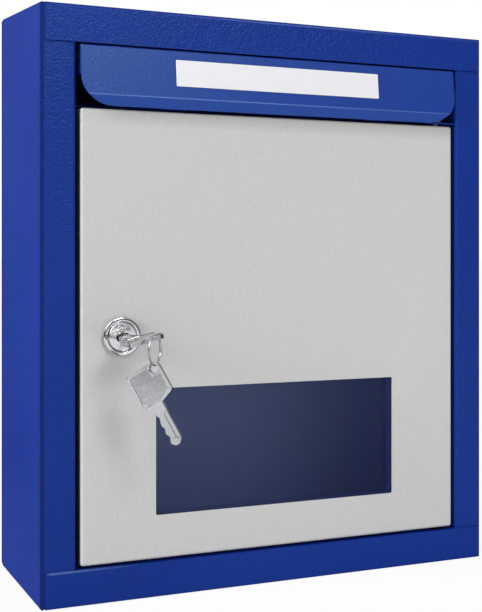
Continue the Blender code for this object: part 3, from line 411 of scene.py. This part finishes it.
def makePane():
    # clear acrylic: what shows through it is dim and cool; a painted shade makes it darker and less glossy along
    # the window's right and lower edges
    made, wire = startFinish("clearAcrylic")
    place = objectPlace(wire)
    dust = noise(wire, place, pane["dustScale"], detail=4.0, rough=0.6)
    colour = mixColours(wire, mapRange(wire, dust, *dustSpan, 0.0, pane["hazeShare"]), pane["colour"], pane["haze"])
    rough = mapRange(wire, dust, *dustSpan, pane["roughLow"], pane["roughHigh"])
    right, low = windowEdges()
    atRight = mapRange(wire, axis(wire, place, "X"), right - pane["rimRightSpread"] * pane["rimRight"],
                       right - pane["rimRight"], 0.0, 1.0)
    atFoot = mapRange(wire, axis(wire, place, "Z"), low + pane["rimLow"],
                      low + pane["rimLowSpread"] * pane["rimLow"], 1.0, 0.0)
    rimShade = wire.maths("MAXIMUM", atRight, atFoot)
    sheet = wire.node("ShaderNodeBsdfPrincipled", {}, {
        "Base Color": colour, "Roughness": rough, "IOR": 1.49,
        "Alpha": pane["cover"] + rimShade * pane["rimDark"]})
    shine = wire.node("ShaderNodeBsdfGlossy", {}, {"Color": pane["shineColour"], "Roughness": pane["shineRough"]})
    shader = wire.node("ShaderNodeMixShader", {}, {0: (1.0 - rimShade) * pane["shine"], 1: sheet, 2: shine})
    return closeFinish(made, shader)


nylon = {
    "colour": (0.003, 0.003, 0.004, 1.0), "deep": (0.002, 0.002, 0.003, 1.0), "cloudScale": 500.0,
    "roughLow": 0.48, "roughHigh": 0.62, "sheen": 0.08, "strength": 0.2, "depth": 0.00005,
}


def makeNylon():
    # moulded black
    made, wire = startFinish("blackNylon")
    cloud = noise(wire, objectPlace(wire), nylon["cloudScale"], detail=2.0)
    colour = mixColours(wire, cloud, nylon["colour"], nylon["deep"])
    rough = mapRange(wire, cloud, *middleSpan, nylon["roughLow"], nylon["roughHigh"])
    shader = wire.node("ShaderNodeBsdfPrincipled", {}, {
        "Base Color": colour, "Roughness": rough, "Specular IOR Level": nylon["sheen"],
        "Normal": bump(wire, cloud, nylon["strength"], nylon["depth"])})
    return closeFinish(made, shader)


labelStock = {
    "colour": (0.83, 0.83, 0.86, 1.0), "deep": (0.78, 0.78, 0.82, 1.0), "cloudScale": 90.0,
    "fibreScale": 1400.0, "fibreDepth": 0.00003, "strength": 0.15, "roughLow": 0.30, "roughHigh": 0.42,
}


def makeLabelPaper():
    # smooth label stock, a little cloudy
    made, wire = startFinish("labelPaper")
    place = objectPlace(wire)
    cloud = noise(wire, place, labelStock["cloudScale"], detail=3.0)
    fibre = noise(wire, place, labelStock["fibreScale"], detail=2.0)
    colour = mixColours(wire, cloud, labelStock["colour"], labelStock["deep"])
    rough = mapRange(wire, fibre, *middleSpan, labelStock["roughLow"], labelStock["roughHigh"])
    shader = wire.node("ShaderNodeBsdfPrincipled", {}, {
        "Base Color": colour, "Roughness": rough,
        "Normal": bump(wire, fibre, labelStock["strength"], labelStock["fibreDepth"])})
    return closeFinish(made, shader)


finishes = {
    "blue": makeBluePaint(), "flap": makeBluePaint(True), "grey": makeGreyPaint(),
    "chrome": makeChrome("brightChrome"), "turned": makeTurnedChrome(),
    "wire": makeChrome("dullChromeWire", unevenness=0.02, dulling=0.22),
    "doorKey": makeChrome("doorKeyChrome", "door_key", unevenness=0.10, dulling=0.10),
    "spareKey": makeChrome("spareKeyChrome", "spare_key", unevenness=0.2, dulling=0.06, edgeShade=0.8),
    "zinc": makeZinc(), "pane": makePane(), "nylon": makeNylon(), "label": makeLabelPaper(),
}
print("finishes made:", len(finishes))


# ---- CAD nodes

# each node's finish and the width of its softened edges
dress = {
    "left_side": ("blue", 0.00025), "right_side": ("blue", 0.00025), "roof_panel": ("blue", 0.00025),
    "floor_panel": ("blue", 0.00025), "back_panel": ("blue", 0.00025), "sill_rail": ("blue", 0.00025),
    "door_stop_low": ("blue", 0.0002), "door_stop_high": ("blue", 0.0002), "flap": ("flap", 0.00025),
    "door_panel": ("grey", 0.0), "window_pane": ("pane", 0.0002), "title_label": ("label", 0.00006),
    "window_clip_low_left": ("zinc", 0.00015), "window_clip_low_right": ("zinc", 0.00015),
    "window_clip_high_left": ("zinc", 0.00015), "window_clip_high_right": ("zinc", 0.00015),
    "door_pin_low": ("zinc", 0.00025), "door_pin_high": ("zinc", 0.00025),
    "flap_pin_left": ("zinc", 0.00020), "flap_pin_right": ("zinc", 0.00020),
    "pivot_washer": ("nylon", 0.00015), "flap_spacer_left": ("nylon", 0.00015),
    "flap_spacer_right": ("nylon", 0.00015), "lock_barrel": ("chrome", 0.00012), "lock_plug": ("turned", 0.00012),
    "lock_nut": ("zinc", 0.0003), "lock_washer": ("zinc", 0.00015), "lock_cam": ("zinc", 0.0002),
    "cam_washer": ("zinc", 0.00015), "cam_screw": ("zinc", 0.0002),
    "door_key": ("doorKey", 0.0002), "spare_key": ("spareKey", 0.0002), "key_ring": ("wire", 0.0),
}
edges = {"weldReach": 1e-6, "segments": 2, "sharpAngle": math.radians(38.0), "evenWeight": 80}


def dressNode(name, finish, softness):
    # the finish, and modifiers that weld, soften and shade the edges
    piece = nodes[name]
    piece.data.materials.clear()
    piece.data.materials.append(finishes[finish])
    piece.data.shade_smooth()
    weld = piece.modifiers.new("weld", "WELD")
    weld.merge_threshold = edges["weldReach"]
    if softness:
        soft = piece.modifiers.new("soft", "BEVEL")
        soft.width = softness
        soft.segments = edges["segments"]
        soft.limit_method = "ANGLE"
        soft.angle_limit = edges["sharpAngle"]
    even = piece.modifiers.new("even", "WEIGHTED_NORMAL")
    even.mode = "FACE_AREA"
    even.weight = edges["evenWeight"]


for name, (finish, softness) in dress.items():
    dressNode(name, finish, softness)
print("nodes dressed:", len(dress))


# ---- floor, light and camera

ground = {
    # white to the camera and matte to soft light; glossy rays see a pale sheet,
    # which darkens to the right, far to the left, far off, near the box and at its foot
    "size": 60.0, "sunk": 0.0002, "whiteShare": 0.92, "matte": (0.94, 0.94, 0.94, 1.0),
    "fanAcross": -0.263, "fanAlong": 0.510, "slopeEnds": (0.43, 0.57), "slopeLeft": 0.22,
    "nearEnds": (-0.60, -0.12), "nearLeft": 0.40, "farEnds": (-2.5, -1.7), "farLeft": 0.3,
    "footEnds": (-0.10, -0.03), "footLeft": 0.32, "sideEnds": (-1.5, -1.1), "sideLeft": 0.12,
    "dark": (0.0, 0.0, 0.0, 1.0), "pale": (0.95, 0.96, 1.0, 1.0),
}


def makeFloor():
    # a wide sheet just below the box
    bm = bmesh.new()
    bmesh.ops.create_grid(bm, x_segments=2, y_segments=2, size=ground["size"] / 2.0)
    mesh = bpy.data.meshes.new("studioFloor")
    bm.to_mesh(mesh)
    bm.free()
    floor = bpy.data.objects.new("studioFloor", mesh)
    bpy.context.scene.collection.objects.link(floor)
    floor.location = (0.0, 0.0, -ground["sunk"])
    made, wire = startFinish("studioFloorWhite")
    seen = wire.node("ShaderNodeLightPath", output="Is Camera Ray")
    glossy = wire.node("ShaderNodeLightPath", output="Is Glossy Ray")
    matte = wire.node("ShaderNodeBsdfDiffuse", {}, {"Color": ground["matte"]})
    glow = wire.node("ShaderNodeEmission", {}, {"Color": (1.0, 1.0, 1.0, 1.0), "Strength": 1.0})
    across = axis(wire, objectPlace(wire), "X")
    along = axis(wire, objectPlace(wire), "Y")
    slope = (across - ground["fanAcross"]) / (ground["fanAlong"] - along)
    paper = mapRange(wire, slope, *ground["slopeEnds"], 1.0, ground["slopeLeft"])
    paper = paper * mapRange(wire, along, *ground["nearEnds"], 1.0, ground["nearLeft"])
    paper = paper * mapRange(wire, along, *ground["farEnds"], ground["farLeft"], 1.0)
    paper = paper * mapRange(wire, along, *ground["footEnds"], 1.0, ground["footLeft"])
    paper = paper * mapRange(wire, across, *ground["sideEnds"], ground["sideLeft"], 1.0)
    mirrored = wire.node("ShaderNodeEmission", {}, {
        "Color": mixColours(wire, paper, ground["dark"], ground["pale"]), "Strength": 1.0})
    lit = wire.node("ShaderNodeMixShader", {}, {0: glossy, 1: matte, 2: mirrored})
    shader = wire.node("ShaderNodeMixShader", {}, {0: seen * ground["whiteShare"], 1: lit, 2: glow})
    closeFinish(made, shader)
    mesh.materials.append(made)


walls = {
    # what bright metal and paint mirror: grey walls by height, darker to the right and behind, a dark card
    # at the left and a bright panel above it; soft light comes from all round, a little more from the right
    "strength": 0.29, "stops": [(0.0, 0.75), (0.47, 0.05), (0.58, 0.07), (0.72, 1.0)],
    "rightEnds": (-0.4, 0.8), "rightShares": (0.22, 0.77), "right": (0.02, 0.02, 0.03, 1.0),
    "rearEnds": (-0.05, 0.25), "rearShare": 0.95, "rear": (0.17, 0.17, 0.17, 1.0),
    "card": (-0.950, -0.300, -0.05), "cardEnds": (0.935, 0.972), "cardColour": (0.0, 0.0, 0.0, 1.0),
    "panel": (-0.55, -0.55, 0.63), "panelEnds": (0.94, 0.975), "panelColour": (3.0, 3.0, 3.0, 1.0),
    "softLeft": (0.88, 0.88, 0.88, 1.0), "softRight": (1.22, 1.22, 1.22, 1.0),
}


def towards(wire, direction, aim, ends):
    # 0 away from an aim, 1 close to it
    return mapRange(wire, dot(wire, direction, Vector(aim).normalized()[:]), *ends, 0.0, 1.0)


def makeWorld():
    world = bpy.data.worlds.new("studioWorld")
    bpy.context.scene.world = world
    world.use_nodes = True
    tree = world.node_tree
    tree.nodes.clear()
    output = tree.nodes.new("ShaderNodeOutputWorld")
    wire = Wire(tree)
    seen = wire.node("ShaderNodeLightPath", output="Is Camera Ray")
    glossy = wire.node("ShaderNodeLightPath", output="Is Glossy Ray")
    through = wire.node("ShaderNodeLightPath", output="Is Transmission Ray")
    direction = wire.node("ShaderNodeTexCoord", output="Generated")
    aside = axis(wire, direction, "X")
    height = axis(wire, direction, "Z") * 0.5 + 0.5
    mirrored = wire.node("ShaderNodeValToRGB", {"stops": walls["stops"]}, {0: height})
    toRight = mapRange(wire, aside, *walls["rightEnds"], *walls["rightShares"])
    mirrored = mixColours(wire, toRight, mirrored, walls["right"])
    toRear = mapRange(wire, axis(wire, direction, "Y"), *walls["rearEnds"], 0.0, walls["rearShare"])
    mirrored = mixColours(wire, toRear, mirrored, walls["rear"])
    card = towards(wire, direction, walls["card"], walls["cardEnds"])
    mirrored = mixColours(wire, card, mirrored, walls["cardColour"])
    panel = towards(wire, direction, walls["panel"], walls["panelEnds"])
    mirrored = mixColours(wire, panel, mirrored, walls["panelColour"])
    soft = mixColours(wire, mapRange(wire, aside, -1.0, 1.0, 0.0, 1.0), walls["softLeft"], walls["softRight"])
    colour = mixColours(wire, glossy, soft, mirrored)
    strength = walls["strength"] + glossy * (1.0 - walls["strength"])
    lit = wire.node("ShaderNodeBackground", {}, {"Color": colour, "Strength": strength})
    white = wire.node("ShaderNodeBackground", {}, {"Color": (1.0, 1.0, 1.0, 1.0), "Strength": 1.0})
    clear = wire.maths("MAXIMUM", seen, through)
    shader = wire.node("ShaderNodeMixShader", {}, {0: clear, 1: lit, 2: white})
    tree.links.new(shader.socket, output.inputs["Surface"])


lamps = {
    "target": (0.0, 0.0, 0.15),
    "keyPlace": (-1.90, -0.30, 0.75), "keySize": 0.9, "keyPower": 42.0,
    "fillPlace": (0.25, -1.78, 1.27), "fillSize": 0.7, "fillPower": 12.6,
    "lowPlace": (0.32, -0.45, 0.03), "lowSize": 0.25, "lowPower": 0.47,
}


def makeLamp(name, place, size, power, mirrored=True):
    lamp = bpy.data.lights.new(name, "AREA")
    lamp.shape = "DISK"
    lamp.size = size
    lamp.energy = power
    holder = bpy.data.objects.new(name, lamp)
    bpy.context.scene.collection.objects.link(holder)
    holder.location = place
    holder.visible_glossy = mirrored
    holder.visible_camera = False
    aim = Vector(lamps["target"]) - Vector(place)
    holder.rotation_euler = aim.to_track_quat("-Z", "Y").to_euler()


view = {
    # fitted to the photo: place in metres, focal length, shifts and image height in pixels, sensor in mm
    "place": (-0.2629, -0.6000, 0.1734), "turn": math.radians(23.530), "focal": 1154.19,
    "imageHeight": 612.0, "sensor": 36.0, "horizonAbove": 51.06, "leftward": 0.8, "clipStart": 0.01,
}


def makeCamera():
    lens = bpy.data.cameras.new("photoCamera")
    lens.sensor_fit = "AUTO"
    lens.sensor_width = view["sensor"]
    lens.lens = view["focal"] / view["imageHeight"] * view["sensor"]
    lens.shift_x = -view["leftward"] / view["imageHeight"]
    lens.shift_y = -view["horizonAbove"] / view["imageHeight"]
    lens.clip_start = view["clipStart"]
    camera = bpy.data.objects.new("photoCamera", lens)
    bpy.context.scene.collection.objects.link(camera)
    camera.location = view["place"]
    camera.rotation_euler = (math.pi / 2.0, 0.0, -view["turn"])
    bpy.context.scene.camera = camera


makeFloor()
makeWorld()
makeLamp("keyLamp", lamps["keyPlace"], lamps["keySize"], lamps["keyPower"], mirrored=False)
makeLamp("fillLamp", lamps["fillPlace"], lamps["fillSize"], lamps["fillPower"])
makeLamp("lowLamp", lamps["lowPlace"], lamps["lowSize"], lamps["lowPower"], mirrored=False)
makeCamera()
bpy.context.scene.view_settings.view_transform = "Standard"
print("studio set")
